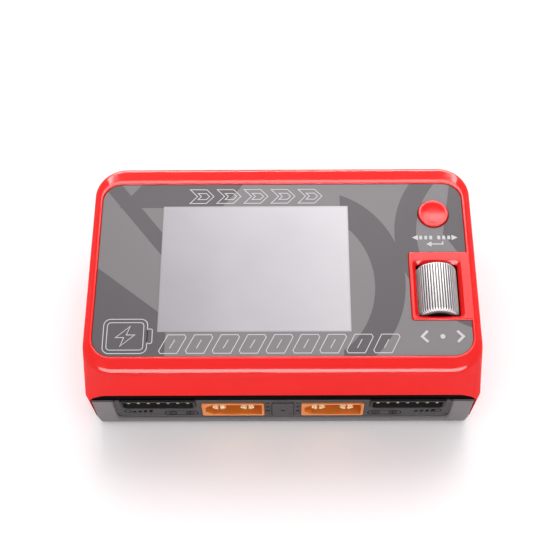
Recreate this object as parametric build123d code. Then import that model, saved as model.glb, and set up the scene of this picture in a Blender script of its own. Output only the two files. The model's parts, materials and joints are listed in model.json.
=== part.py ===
from build123d import *

import os
from math import cos, pi, sin

# Dual channel balance charger, in millimetres.
# The origin is on the surface it stands on, under the middle of the case.
# X is the long side, -Y is the side with the battery sockets, and Z is up.

# ---------------------------------------------------------------- driving sizes
# Outer sections of the case, from the bottom up: width, depth, corner radius, height
# and how far the middle of the section lies towards the rear.
BOTTOM = (95.8, 57.8, 1.0, 1.2, 0.0)
LOW = (96.8, 58.2, 1.2, 4.5, 0.0)
BELT = (98.2, 59.2, 2.5, 18.0, 0.0)
SHOULDER = (96.1, 57.95, 8.4, 32.3, 0.525)
CREST = (92.8, 49.9, 5.6, 33.9, -0.3)
RIDGE_RADIUS = 2.2              # rounding of the shoulder
CREST_RADIUS = 0.6              # rounding of the outer edge of the crest
RIM_RADIUS = 0.3                # rounding of the edges round the plate and the wheel

WALL = 1.8
DECK_BOTTOM = 31.0
PLATE_BOTTOM = 32.6
PLATE_TOP = 33.6
FACE_Y = 29.1                   # front and rear connector faces
INNER_Y = 27.3                  # inside of the front and rear walls
FLOOR_TOP = 3.0
FRONT_LIP = 20.85               # lower edge of the red shell over the front face
REAR_LIP = 24.0                 # lower edge of the red shell over the rear face
REAR_PROUD = 0.26               # how far the rear connectors stand out of the rear face
FACE_HALF_WIDTH = 48.15
LIP_RADIUS = 5.0
BAND_BOTTOM = 15.8              # the glossy strip lies between here and the lip
BAND_SET_BACK = 0.5
CLEAR = 0.12                    # gap between parts that meet
FAR = 60.0                      # beyond everything, for cuts that go right through
CORE = (47.1, 28.0)             # half sizes of the lower shell inside the skirts
CAVITY = (45.5, INNER_Y)        # half sizes of the room inside the lower shell
BAND_DEPTH = 1.2                # depth of the step behind the glossy strip
TONGUE = 43.0                   # half length of the tongues that locate the shells

PLATE_WIDTH = 91.2
PLATE_DEPTH = 47.84
PLATE_RADIUS = 4.8
PLATE_Y = -0.45

SCREEN = (46.75, 35.06)
SCREEN_X = -6.71
SCREEN_Y = -0.5

BUTTON = (38.2, 14.5)
BUTTON_DIAMETER = 7.6
BUTTON_TOP = 34.2
BUTTON_DISH = (0.42, 12.0)      # depth and radius of the hollow in its top

WHEEL_X = 38.15
WHEEL_Y = -6.76
WHEEL_Z = 30.9
WHEEL_RADIUS = 5.05
WHEEL_LENGTH = 13.4
WHEEL_RIBS = 46
WHEEL_OPENING = (10.3, 14.2)
WHEEL_BORE = 6.2                # the plastic core fills the metal sleeve
BEZEL_LEFT = 31.3
BEZEL_Y = (-15.14, 3.5)
SHAFT_DIAMETER = 1.6
CHEEK = 1.05
GUIDE_Y = (WHEEL_Y - 5.0, WHEEL_Y + 5.0)

OUTPUT_X = 12.6
BULLET = (15.8, 8.1)            # face of the two pole bullet connector
BULLET_LENGTH = 16.0
BULLET_Z = 10.05
BULLET_PITCH = 7.2
BULLET_WALL = 0.65
BULLET_KEY = 2.0                # corners cut off at the keyed end of the mouth
TIP_DEPTH = 0.8                 # how far the contacts stay behind the mouth
INPUT_X = -9.0

SOCKET_X = 31.45
SOCKET = (18.9, 5.1)            # face of the balance socket
SOCKET_Z = 13.2
SOCKET_PINS = 7
SOCKET_PITCH = 2.49

COVER = (5.4, 8.7)
COVER_Z = 9.75
FACE_PANEL = (85.2, 11.6, 2.5)  # sunken field round the front connectors
FACE_PANEL_Z = 10.7
FACE_PANEL_DEPTH = 0.35

POWER_BOARD = (4.4, 6.0)        # underside and top of each board
BALANCE_BOARD = (9.45, 10.65)
ROLLER_BOARD = (19.4, 20.6)
CONTROL_BOARD = (26.6, 27.8)

USB = (13.2, 5.8)
USB_X = 9.7
USB_Z = POWER_BOARD[1] + USB[1] / 2

FAN_SIZE = 20.0
FAN_DEPTH = 8.0
FAN_X = 31.0
FAN_Z = 13.1
FAN_Y = 23.2                    # middle of the fan
FAN_BLADES = 7

CASE_POSTS = [(43.2, 23.5), (-43.2, 23.5), (43.2, -23.5), (-43.2, -23.5)]
CASE_POST_SPLIT = 12.1
POST_DIAMETER = 4.0             # screw posts of the two shells
POST_HOLE = 4.6                 # holes in the boards round the case posts
SCREW_SEAT = 2.6                # depth of the counterbores in the floor
CONTROL_POSTS = [(-39.5, 20.0), (-39.5, -20.0), (28.6, 21.8), (28.6, -21.8)]
ROLLER_POSTS = [(33.2, 4.6), (43.4, -17.4)]
POWER_POSTS = [(-42.0, 15.0), (42.0, 15.0), (-42.0, -9.0), (42.0, -9.0)]
FEET = [(36.0, 21.0), (-36.0, 21.0), (36.0, -21.0), (-36.0, -21.0)]
FOOT_DIAMETER = 8.0
FOOT_TOP = 1.5

PANEL = (57.4, 40.4, 2.2)       # display module
PANEL_LEFT = -32.2
PANEL_TOP = 32.3


# ---------------------------------------------------------------------- helpers
def save(name, shape):
    """Write one sub-part to its own file."""
    export_step(shape, f"parts/{name}.step")


def block(x, y, z):
    """A box given by its three ranges."""
    size = Box(x[1] - x[0], y[1] - y[0], z[1] - z[0])
    return Pos((x[0] + x[1]) / 2, (y[0] + y[1]) / 2, (z[0] + z[1]) / 2) * size


def rounded_block(x, y, z, radius):
    """A box with rounded upright corners, given by its three ranges."""
    outline = RectangleRounded(x[1] - x[0], y[1] - y[0], radius)
    return Pos((x[0] + x[1]) / 2, (y[0] + y[1]) / 2, z[0]) * extrude(outline, z[1] - z[0])


def post(place, z, diameter):
    """An upright round post."""
    return Pos(place[0], place[1], (z[0] + z[1]) / 2) * Cylinder(diameter / 2, z[1] - z[0])


def drill(place, diameter):
    """An upright round hole right through."""
    return post(place, (-FAR, FAR), diameter)


def rod(x, z, y, diameter):
    """A round rod along Y."""
    return Pos(x, (y[0] + y[1]) / 2, z) * Rot(90, 0, 0) * Cylinder(diameter / 2, y[1] - y[0])


def upright(outline, y):
    """Push an outline drawn in X and Z through the given range of Y."""
    return Pos(0, y[1], 0) * Rot(90, 0, 0) * extrude(outline, y[1] - y[0])


def section(size):
    """One outer section of the case."""
    width, depth, radius, height, shift = size
    return (Pos(0, shift, height) * RectangleRounded(width, depth, radius)).face()


def inset(size, amount, height):
    """A section moved inwards all round and set at another height."""
    width, depth, radius, _, shift = size
    return (width - 2 * amount, depth - 2 * amount, max(radius - amount, 1.0), height, shift)


def between(lower, upper):
    """The solid between two sections."""
    return loft([section(lower), section(upper)], ruled=True)


def edges_at(shape, height):
    """Edges that lie level at the given height."""
    return [e for e in shape.edges() if abs(e.center().Z - height) < 0.01]


def touches(edge, others):
    """Whether an edge lies on one of the others."""
    return any(other.distance_to(edge.center()) < 0.01 for other in others)


def face_outline(top, margin):
    """Front view of the connector face: square at the bottom, rounded at the top."""
    half = FACE_HALF_WIDTH - margin
    sheet = Pos(0, (top - margin - 10) / 2) * Rectangle(2 * half, top - margin + 10)
    corners = sheet.vertices().group_by(Axis.Y)[-1]
    return fillet(corners, LIP_RADIUS - margin)


def mirror_pair(shape):
    """The same shape on the left and on the right."""
    return [mirror(shape, about=Plane.YZ), shape]


def group(shapes):
    """Several separate solids that share one node."""
    solids = [solid for shape in shapes for solid in shape.solids()]
    return Compound(children=solids)


# ------------------------------------------------------------------------ cases
def bullet_outline(margin=0.0):
    """Face of a bullet connector."""
    return RectangleRounded(BULLET[0] + 2 * margin, BULLET[1] + 2 * margin, 0.6)


def bullet_mouth():
    """Mouth of a bullet connector: both corners of one end are cut off."""
    end_wall = 1.3 * BULLET_WALL
    width = BULLET[0] - BULLET_WALL - end_wall
    outline = Pos((end_wall - BULLET_WALL) / 2) * Rectangle(width, BULLET[1] - 2 * BULLET_WALL)
    return chamfer(outline.vertices().group_by(Axis.X)[0], BULLET_KEY)


def socket_outline(margin=0.0):
    """Face of a balance socket: the two lower corners are cut off."""
    outline = Rectangle(SOCKET[0] + 2 * margin, SOCKET[1] + 2 * margin)
    return chamfer(outline.vertices().group_by(Axis.Y)[0], 1.1)


def bezel_block(margin, z):
    """A block over the raised frame round the wheel, with rounded left corners."""
    y = (BEZEL_Y[0] - margin, BEZEL_Y[1] + margin)
    return rounded_block((BEZEL_LEFT - margin, FAR), y, z, 0.7 + margin)


def wheel_cut():
    """Opening for the wheel, with edges that slope in from the top of the bezel."""
    top = CREST[3] + 0.1
    slope = 1.0
    low = RectangleRounded(*WHEEL_OPENING, 0.7)
    high = RectangleRounded(WHEEL_OPENING[0] + 1.8, WHEEL_OPENING[1] + 1.8, 1.3)
    hole = Pos(0, 0, DECK_BOTTOM - 1) * extrude(low, 5)
    low_edge = (Pos(0, 0, top - slope) * low).face()
    high_edge = (Pos(0, 0, top) * high).face()
    return Pos(WHEEL_X, WHEEL_Y) * (hole + loft([low_edge, high_edge], ruled=True))


def make_top_shell():
    """Red upper shell with the deck, the wheel bezel and the side skirts."""
    wall = between(BELT, SHOULDER) + between(SHOULDER, CREST)
    wall = fillet(edges_at(wall, SHOULDER[3]), RIDGE_RADIUS)
    wall = fillet(edges_at(wall, CREST[3]), CREST_RADIUS)

    pocket_x = (-PLATE_WIDTH / 2 - 0.1, PLATE_WIDTH / 2 + 0.1)
    pocket_y = (PLATE_Y - PLATE_DEPTH / 2 - 0.1, PLATE_Y + PLATE_DEPTH / 2 + 0.1)
    pocket = rounded_block(pocket_x, pocket_y, (PLATE_BOTTOM, FAR), PLATE_RADIUS + 0.1)
    outside = edges_at(wall, CREST[3])
    wall = wall - (pocket - bezel_block(0, (0, FAR))) - wheel_cut()
    rim = [e for e in edges_at(wall, CREST[3]) if not touches(e, outside)]
    wall = fillet(rim, RIM_RADIUS)
    shell = wall + between(LOW, BELT)

    upper = between(inset(BELT, WALL, BELT[3]), inset(SHOULDER, WALL, DECK_BOTTOM))
    lower = rounded_block((-47.3, 47.3), (-27.5, 27.5), (0, FRONT_LIP), 2)
    shell = shell - upper - lower
    shell = shell - upright(face_outline(FRONT_LIP, 0), (-FAR, -25.9))
    shell = shell - upright(face_outline(REAR_LIP, 0), (25.9, FAR))

    shell = shell - panel_block(0.4, (DECK_BOTTOM - 1, PLATE_BOTTOM + 1))
    shell = shell - drill(BUTTON, BUTTON_DIAMETER + 0.5)
    shell = shell - rounded_block((32.3, 44.0), (-15.5, 1.98), (DECK_BOTTOM - 1, 32.3), 1)

    for place in CASE_POSTS:
        shell = shell + post(place, (CASE_POST_SPLIT, DECK_BOTTOM), POST_DIAMETER)
        shell = shell - post(place, (CASE_POST_SPLIT - 1, 21), 2.05)
    for place in CONTROL_POSTS:
        shell = shell + post(place, (CONTROL_BOARD[1], DECK_BOTTOM), POST_DIAMETER)
        shell = shell - post(place, (CONTROL_BOARD[1] - 1, DECK_BOTTOM), 1.65)
    for place in ROLLER_POSTS:
        shell = shell + post(place, (ROLLER_BOARD[1], DECK_BOTTOM), 3.2)
        shell = shell - post(place, (ROLLER_BOARD[1] - 1, 25), 1.65)
    return shell


def fan_grille(x):
    """Upright slots across the fan bore, cut through the rear wall."""
    slots = []
    for index in range(7):
        offset = (index - 3) * 2.5
        reach = (8.6 ** 2 - offset ** 2) ** 0.5
        slot = Pos(x + offset, FAN_Z) * SlotOverall(2 * reach, 1.5, rotation=90)
        slots.append(upright(slot, (INNER_Y - 1, FACE_Y + 1)))
    return slots


def make_bottom_shell():
    """Dark lower shell: floor, walls inside the skirts, front and rear faces."""
    shell = between(BOTTOM, inset(LOW, CLEAR, LOW[3] - CLEAR))
    shell = shell + rounded_block((-CORE[0], CORE[0]), (-CORE[1], CORE[1]), (LOW[3] - CLEAR, BELT[3]), 2)
    for top, side in ((FRONT_LIP, -1), (REAR_LIP, 1)):
        face = upright(face_outline(top, CLEAR), (26.0, FACE_Y))
        face = face & block((-FAR, FAR), (0, FAR), (LOW[3] - CLEAR - 0.5, FAR))
        if side < 0:
            face = mirror(face, about=Plane.XZ)
        corners = face.edges().filter_by(Axis.Z)
        outer = [e for e in corners if abs(abs(e.center().Y) - FACE_Y) < 0.01]
        shell = shell + fillet(outer, 0.8)

    room = rounded_block((-CAVITY[0], CAVITY[0]), (-CAVITY[1], CAVITY[1]), (FLOOR_TOP, FAR), 2)
    shell = shell - room
    shell = shell - block((-FAR, FAR), (-FAR, -FACE_Y + BAND_DEPTH), (BAND_BOTTOM, FAR))
    tongue = (-TONGUE, TONGUE)
    shell = shell + block(tongue, (-27.6, -26.4), (17.5, FRONT_LIP - 0.4))
    shell = shell + block(tongue, (-27.25, -26.4), (FRONT_LIP - 0.6, FRONT_LIP + 1.8))
    shell = shell + block(tongue, (26.0, 27.6), (REAR_LIP - 0.7, REAR_LIP - 0.2))
    shell = shell + block(tongue, (26.0, 26.95), (REAR_LIP - 0.7, REAR_LIP + 1.2))

    panel = Pos(0, FACE_PANEL_Z) * RectangleRounded(*FACE_PANEL)
    shell = shell - upright(panel, (-FAR, -FACE_Y + FACE_PANEL_DEPTH))
    for x in (-OUTPUT_X, OUTPUT_X):
        hole = Pos(x, BULLET_Z) * bullet_outline(CLEAR)
        shell = shell - upright(hole, (-FAR, -20))
    for x in (-SOCKET_X, SOCKET_X):
        hole = Pos(x, SOCKET_Z) * socket_outline(CLEAR)
        shell = shell - upright(hole, (-FAR, -20))
    cover = Pos(0, COVER_Z) * Rectangle(COVER[0] + 2 * CLEAR, COVER[1] + 2 * CLEAR)
    shell = shell - upright(cover, (-FAR, -20))

    inlet = upright(Pos(0, BULLET_Z) * bullet_outline(CLEAR), (-FAR, -20))
    shell = shell - to_rear(inlet, INPUT_X)
    usb = Pos(USB_X, USB_Z) * RectangleRounded(USB[0] + 0.3, USB[1] + 0.3, 0.8)
    shell = shell - upright(usb, (20, FAR))
    for x in (-FAN_X, FAN_X):
        for slot in fan_grille(x):
            shell = shell - slot

    for column in range(9):
        x = (column - 4) * 6.5
        for y in (-11.5, 3.5):
            slot = Pos(x, y, 0) * extrude(SlotOverall(11, 2.2, rotation=90), 4)
            shell = shell - slot

    for place in CASE_POSTS:
        shell = shell + post(place, (FLOOR_TOP - 0.5, CASE_POST_SPLIT - CLEAR), POST_DIAMETER)
        shell = shell - drill(place, 2.2)
        shell = shell - post(place, (0, SCREW_SEAT), 3.9)
    for place in POWER_POSTS:
        shell = shell + post(place, (FLOOR_TOP - 0.5, POWER_BOARD[0]), 4.4)
        shell = shell - post(place, (2.2, POWER_BOARD[0] + 1), 1.65)
    for place in FEET:
        shell = shell - post(place, (0, FOOT_TOP), FOOT_DIAMETER + 0.1)
    return shell


def make_front_strip():
    """Glossy strip that closes the gap between the front face and the red lip."""
    outer = FACE_Y - BAND_SET_BACK
    sheet = face_outline(FRONT_LIP, 2 * CLEAR)
    strip = upright(sheet, (-outer, -FACE_Y + BAND_DEPTH - 0.02))
    return strip & block((-FAR, FAR), (-FAR, 0), (BAND_BOTTOM + 0.05, FAR))


# ------------------------------------------------------------------- user panel
def make_faceplate():
    """Printed sheet with openings for the window, the button and the wheel bezel."""
    x = (-PLATE_WIDTH / 2, PLATE_WIDTH / 2)
    y = (PLATE_Y - PLATE_DEPTH / 2, PLATE_Y + PLATE_DEPTH / 2)
    plate = rounded_block(x, y, (PLATE_BOTTOM, PLATE_TOP), PLATE_RADIUS)
    plate = plate - bezel_block(0.1, (0, FAR))
    plate = plate - screen_block(0.05, (0, FAR))
    return plate - drill(BUTTON, BUTTON_DIAMETER + 0.4)


def screen_block(margin, z):
    """A block over the visible part of the display."""
    half_x, half_y = SCREEN[0] / 2 + margin, SCREEN[1] / 2 + margin
    x = (SCREEN_X - half_x, SCREEN_X + half_x)
    y = (SCREEN_Y - half_y, SCREEN_Y + half_y)
    return block(x, y, z)


def panel_block(margin, z):
    """A block over the display module."""
    x = (PANEL_LEFT - margin, PANEL_LEFT + PANEL[0] + margin)
    y = (SCREEN_Y - PANEL[1] / 2 - margin, SCREEN_Y + PANEL[1] / 2 + margin)
    return block(x, y, z)


def make_gasket():
    """Foam frame between the display and the window."""
    frame = panel_block(-0.2, (PANEL_TOP, PLATE_BOTTOM))
    return frame - screen_block(0.6, (0, FAR))


def make_holder():
    """Tray that holds the display module above the control board."""
    z = (CONTROL_BOARD[1], PANEL_TOP - PANEL[2])
    tray = panel_block(0.1, z) - panel_block(-1.6, (z[0], z[1] - 0.7))
    return tray - block((-24, 14), (-14, 13), (0, FAR))


def make_flex():
    """Ribbon from the edge of the display module round to the control board."""
    edge = PANEL_LEFT + PANEL[0]
    thickness = 0.2
    low = CONTROL_BOARD[1] + thickness / 2
    high = PANEL_TOP - 1.6
    outer = edge + 2.2
    line = FilletPolyline((edge, high), (outer, high), (outer, low), (edge + 0.6, low), radius=0.6)
    ribbon = trace(line, thickness)
    return upright(Sketch() + ribbon, (-12.0, 10.0)).solids()[0]


def make_control_board():
    """Upper board with the display, the button and the wheel electronics."""
    z = CONTROL_BOARD
    board = rounded_block((-44.2, 44.6), (-24.5, 24.0), z, 3)
    board = board - block((31.2, FAR), (-FAR, 6.9), z)
    for place in CASE_POSTS:
        board = board - drill(place, POST_HOLE)
    for place in CONTROL_POSTS:
        board = board - drill(place, 1.9)
    return board


def make_control_chips():
    """Processor, memory and driver chips under the control board."""
    z = CONTROL_BOARD[0]
    chips = [
        block((-11, -1), (-6, 4), (z - 1.4, z)),
        block((5, 11), (-4, 1), (z - 1.2, z)),
        block((16, 20), (3, 8), (z - 1.0, z)),
        block((-22, -18), (0, 6), (z - 1.0, z)),
    ]
    return group(chips)


def make_buzzer():
    """Round sounder under the control board."""
    z = CONTROL_BOARD[0]
    can = post((-30, -15), (z - 4.5, z), 9.0)
    return can - post((-30, -15), (z - 5, z - 3.5), 2.0)


def make_button():
    """Cap with a shallow dish and rounded lips, and a flange that keeps it under the deck."""
    flange_top = DECK_BOTTOM - 0.2
    cap = post(BUTTON, (flange_top - 0.5, BUTTON_TOP), BUTTON_DIAMETER)
    depth, radius = BUTTON_DISH
    cap = cap - Pos(BUTTON[0], BUTTON[1], BUTTON_TOP - depth + radius) * Sphere(radius)
    cap = fillet(edges_at(cap, BUTTON_TOP), 0.25)
    return cap + post(BUTTON, (flange_top - 0.8, flange_top), 10.2)


def make_button_switch():
    """Push switch under the button."""
    z = CONTROL_BOARD[1]
    x, y = BUTTON
    body = block((x - 3, x + 3), (y - 3, y + 3), (z, z + 1.3))
    return body - post(BUTTON, (z + 0.4, FAR), 3.5)


def make_button_plunger():
    """Moving pin of the push switch, which the button rests on."""
    return post(BUTTON, (CONTROL_BOARD[1] + 1.0, DECK_BOTTOM - 1.0), 3.2)


def make_wheel_sleeve():
    """Ribbed metal sleeve of the wheel."""
    points = []
    for index in range(WHEEL_RIBS):
        for part, radius in ((0.0, WHEEL_RADIUS - 0.3), (0.3, WHEEL_RADIUS), (0.6, WHEEL_RADIUS)):
            angle = 2 * pi * (index + part) / WHEEL_RIBS
            points.append((radius * cos(angle), radius * sin(angle)))
    ribs = extrude(make_face(Polyline(*points, close=True)), WHEEL_LENGTH)
    blank = Pos(0, 0, WHEEL_LENGTH / 2) * Cylinder(WHEEL_RADIUS, WHEEL_LENGTH)
    blank = chamfer(blank.edges().filter_by(GeomType.CIRCLE), 0.7)
    sleeve = (ribs & blank) - Pos(0, 0, WHEEL_LENGTH / 2) * Cylinder(WHEEL_BORE / 2, WHEEL_LENGTH)
    return Pos(WHEEL_X, WHEEL_Y + WHEEL_LENGTH / 2, WHEEL_Z) * Rot(90, 0, 0) * sleeve


def make_wheel_core():
    """Plastic core with the wheel's shaft."""
    half = WHEEL_LENGTH / 2
    core = rod(WHEEL_X, WHEEL_Z, (WHEEL_Y - half + 0.3, WHEEL_Y + half - 0.3), WHEEL_BORE)
    reach = half + 0.4 + CHEEK
    return core + rod(WHEEL_X, WHEEL_Z, (WHEEL_Y - reach, WHEEL_Y + reach), SHAFT_DIAMETER)


def make_cradle():
    """Sliding cradle that carries the wheel and passes a press to the switch."""
    half = WHEEL_LENGTH / 2 + 0.4
    y = (WHEEL_Y - half - CHEEK, WHEEL_Y + half + CHEEK)
    cradle = block((34.2, 42.1), y, (23.6, 24.8))
    for y0 in (WHEEL_Y - half - CHEEK, WHEEL_Y + half):
        outline = Pos(WHEEL_X, 27.4) * Rectangle(5.0, 7.0) + Pos(WHEEL_X, WHEEL_Z) * Circle(1.15)
        outline = outline + Pos(WHEEL_X, 30.5) * Rectangle(2.3, 1.0)
        cradle = cradle + upright(outline, (y0, y0 + CHEEK))
    cradle = cradle - rod(WHEEL_X, WHEEL_Z, (-FAR, FAR), SHAFT_DIAMETER + 0.1)
    for y in GUIDE_Y:
        cradle = cradle - drill((WHEEL_X, y), 1.3)
    return cradle


def make_guide_pins():
    """Two pins that guide the cradle straight up and down."""
    return group([post((WHEEL_X, y), (ROLLER_BOARD[1], 25.0), 1.2) for y in GUIDE_Y])


def make_wheel_sensor():
    """Sensor chip in the cradle that reads the turning wheel."""
    return block((WHEEL_X - 1.2, WHEEL_X + 1.2), (WHEEL_Y - 1.5, WHEEL_Y + 1.5), (24.8, 25.3))


def make_roller_board():
    """Small board under the wheel."""
    z = ROLLER_BOARD
    board = block((31.4, 45.2), (-19.2, 6.4), z) + block((28.4, 31.4), (-6, 2), z)
    for place in ROLLER_POSTS:
        board = board - drill(place, 1.9)
    return board


def make_roller_header():
    """Header between the roller board and the control board."""
    return block((29.0, 31.0), (-5.6, 1.6), (ROLLER_BOARD[1], CONTROL_BOARD[0]))


def make_press_switch():
    """Push switch under the cradle."""
    z = ROLLER_BOARD[1]
    body = block((WHEEL_X - 2.5, WHEEL_X + 2.5), (WHEEL_Y - 2.5, WHEEL_Y + 2.5), (z, z + 1.9))
    return body - post((WHEEL_X, WHEEL_Y), (z + 0.7, FAR), 2.7)


def make_press_plunger():
    """Moving pin of the switch under the cradle."""
    return post((WHEEL_X, WHEEL_Y), (ROLLER_BOARD[1] + 1.4, 23.6), 2.4)


# ------------------------------------------------------------------- connectors
def make_bullet_housing(x):
    """Amber housing of a two pole connector, with its mouth towards -Y."""
    place = Pos(x, BULLET_Z)
    body = upright(place * bullet_outline(), (-FACE_Y, -FACE_Y + BULLET_LENGTH))
    body = body - upright(place * bullet_mouth(), (-FACE_Y - 1, -FACE_Y + 9.5))
    for side in (-0.5, 0.5):
        hole = (-FACE_Y + 5, -FACE_Y + BULLET_LENGTH + 1)
        body = body - rod(x + side * BULLET_PITCH, BULLET_Z, hole, 3.5)
    return body


def make_bullet_pins(x):
    """Gold contacts of a two pole connector: split tips and soldered tails."""
    pins = []
    for side in (-0.5, 0.5):
        centre = x + side * BULLET_PITCH
        pin = rod(centre, BULLET_Z, (-FACE_Y + TIP_DEPTH, -FACE_Y + BULLET_LENGTH + 2), 3.5)
        slit = (-FACE_Y, -FACE_Y + 6)
        pin = pin - block((centre - 0.25, centre + 0.25), slit, (BULLET_Z - 3, BULLET_Z + 3))
        pin = pin - block((centre - 3, centre + 3), slit, (BULLET_Z - 0.25, BULLET_Z + 0.25))
        tail_y = -FACE_Y + BULLET_LENGTH + 1
        pin = pin + post((centre, tail_y), (POWER_BOARD[0], BULLET_Z), 1.8)
        pins.append(pin)
    return group(pins)


def to_rear(shape, x):
    """Turn each solid of a front connector at X = 0 round to the rear face."""
    turned = [Pos(x, REAR_PROUD, 0) * Rot(0, 0, 180) * solid for solid in shape.solids()]
    return turned[0] if len(turned) == 1 else group(turned)


def make_socket(x):
    """Balance socket housing with its mouth towards -Y."""
    place = Pos(x, SOCKET_Z)
    body = upright(place * socket_outline(), (-FACE_Y, -FACE_Y + 11.5))
    mouth = offset(socket_outline(), amount=-0.6)
    body = body - upright(place * mouth, (-FACE_Y - 1, -FACE_Y + 7.5))
    for index in range(SOCKET_PINS):
        centre = x + (index - (SOCKET_PINS - 1) / 2) * SOCKET_PITCH
        hole = block((centre - 0.32, centre + 0.32), (-25, 0), (SOCKET_Z - 0.32, SOCKET_Z + 0.32))
        body = body - hole
    return body


def make_socket_pins(x):
    """Square pins of a balance socket, bent down to its board."""
    pins = []
    for index in range(SOCKET_PINS):
        centre = x + (index - (SOCKET_PINS - 1) / 2) * SOCKET_PITCH
        wide = (centre - 0.32, centre + 0.32)
        pin = block(wide, (-FACE_Y + 0.6, -16.4), (SOCKET_Z - 0.32, SOCKET_Z + 0.32))
        pin = pin + block(wide, (-17.04, -16.4), (BALANCE_BOARD[0] - 0.8, SOCKET_Z + 0.32))
        pins.append(pin)
    return group(pins)


def make_balance_board(side):
    """Board that carries one balance socket."""
    x = sorted((side * 21.3, side * 40.9))
    board = block(x, (-26.8, -12.5), BALANCE_BOARD)
    for index in range(SOCKET_PINS):
        centre = side * SOCKET_X + (index - (SOCKET_PINS - 1) / 2) * SOCKET_PITCH
        wide = (centre - 0.32, centre + 0.32)
        board = board - block(wide, (-17.04, -16.4), BALANCE_BOARD)
    return board


def make_balance_headers():
    """Pin strips that carry the balance boards above the power board."""
    strip = block((23.8, 39.1), (-15.2, -12.8), (POWER_BOARD[1], BALANCE_BOARD[0]))
    return group(mirror_pair(strip))


def make_service_cover():
    """Small square cover in the middle of the front face, with a pin hole."""
    cover = upright(Pos(0, COVER_Z) * Rectangle(*COVER), (-FACE_Y, -INNER_Y))
    flange = upright(Pos(0, COVER_Z) * Rectangle(7.2, 6.6), (-INNER_Y, -INNER_Y + 0.8))
    return cover + flange - rod(0, COVER_Z - 0.4, (-FAR, 0), 1.0)


def make_service_port():
    """Small socket behind the service cover."""
    z = POWER_BOARD[1]
    shell = block((-3.7, 3.7), (-26.2, -20.6), (z, z + 2.8))
    return shell - block((-3.3, 3.3), (-27, -21.2), (z + 0.4, z + 2.4))


def make_usb_shell():
    """Folded metal shell of the USB power outlet."""
    outer = Pos(USB_X, USB_Z) * RectangleRounded(*USB, 0.6)
    inner = Pos(USB_X, USB_Z) * RectangleRounded(USB[0] - 0.8, USB[1] - 0.8, 0.3)
    return upright(outer, (15.1, FACE_Y + REAR_PROUD)) - upright(inner, (15.5, FAR))


def make_usb_tongue():
    """Plastic insert of the USB outlet with the contact tongue."""
    half = USB[0] / 2 - 0.5
    z = (USB_Z - USB[1] / 2 + 0.5, USB_Z + USB[1] / 2 - 0.5)
    base = block((USB_X - half, USB_X + half), (15.52, 19.0), z)
    tongue = block((USB_X - 5.5, USB_X + 5.5), (19.0, FACE_Y - 0.8), (z[1] - 2.2, z[1] - 0.35))
    return base + tongue


# --------------------------------------------------------------- power circuitry
def make_power_board():
    """Main board with the two converters and every power connector."""
    z = POWER_BOARD
    board = rounded_block((-45, 45), (-26.9, 18.8), z, 2.5) + block((-20.4, 20.4), (17, 27.1), z)
    for place in CASE_POSTS:
        board = board - drill(place, POST_HOLE)
    for place in POWER_POSTS:
        board = board - drill(place, 2.2)
    for x in (-OUTPUT_X, OUTPUT_X):
        for side in (-0.5, 0.5):
            tail = (x + side * BULLET_PITCH, -FACE_Y + BULLET_LENGTH + 1)
            board = board - drill(tail, 1.8)
    for side in (-0.5, 0.5):
        tail = (INPUT_X + side * BULLET_PITCH, FACE_Y + REAR_PROUD - BULLET_LENGTH - 1)
        board = board - drill(tail, 1.8)
    return board


def make_inductors():
    """Square power inductors with chamfered tops."""
    z = POWER_BOARD[1]
    core = rounded_block((8.5, 20.0), (-6.0, 5.5), (z, z + 7.5), 1.5)
    core = chamfer(core.faces().sort_by(Axis.Z)[-1].edges(), 0.6)
    return group(mirror_pair(core))


def make_capacitors():
    """Electrolytic capacitors standing between the two channels."""
    z = POWER_BOARD[1]
    cans = []
    for x in (-4.2, 4.2):
        for y in (-7.2, 0, 7.2):
            can = post((x, y), (z, z + 12.5), 7.0)
            can = fillet(can.edges().sort_by(Axis.Z)[-1], 0.6)
            waist = (z + 1.6, z + 2.4)
            cans.append(can - (post((x, y), waist, 8) - post((x, y), waist, 6.3)))
    return group(cans)


def make_mosfets():
    """Flat power transistors under the heat sinks."""
    z = POWER_BOARD[1]
    chips = []
    for x in (23.9, 30.6, 37.3):
        for y in (-4.0, 4.5, 13.0):
            chips.append(block((x - 2.6, x + 2.6), (y - 3, y + 3), (z, z + 1.0)))
    return group([pair for chip in chips for pair in mirror_pair(chip)])


def make_heat_pad():
    """Soft heat-conducting pads between the transistors and the heat sinks."""
    z = POWER_BOARD[1] + 1.0
    pad = block((21.2, 40.8), (-7.5, 17.0), (z, z + 0.5))
    return group(mirror_pair(pad))


def make_heat_sink(side):
    """Finned aluminium block in the air stream of one fan."""
    z = POWER_BOARD[1] + 1.5
    base = block((21.0, 41.0), (-8.0, 17.5), (z, z + 2.2))
    for index in range(8):
        x = 21.6 + index * 2.69
        base = base + block((x - 0.6, x + 0.6), (-8.0, 17.5), (z + 2.2, 17.4))
    return base if side > 0 else mirror(base, about=Plane.YZ)


def make_shunts():
    """Current-sensing links of the two channels."""
    z = POWER_BOARD[1]
    link = block((9.5, 17.5), (-10.5, -7.5), (z, z + 1.6))
    link = link - block((11.0, 16.0), (-11, -7), (z, z + 0.8))
    return group(mirror_pair(link))


def make_link_header():
    """Tall header that joins the power board to the control board."""
    z = (POWER_BOARD[1], CONTROL_BOARD[0])
    parts = block((-43.6, -41.4), (-6, 10), (z[0], z[0] + 2.4))
    parts = parts + block((-43.6, -41.4), (-6, 10), (z[1] - 2.4, z[1]))
    for index in range(8):
        y = -5 + index * 2
        parts = parts + block((-42.8, -42.2), (y - 0.3, y + 0.3), z)
    return parts


# ------------------------------------------------------------------------- fans
def fan_place(side):
    """Local Z of a fan becomes -Y in the charger."""
    return Pos(side * FAN_X, FAN_Y, FAN_Z) * Rot(90, 0, 0)


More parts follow.
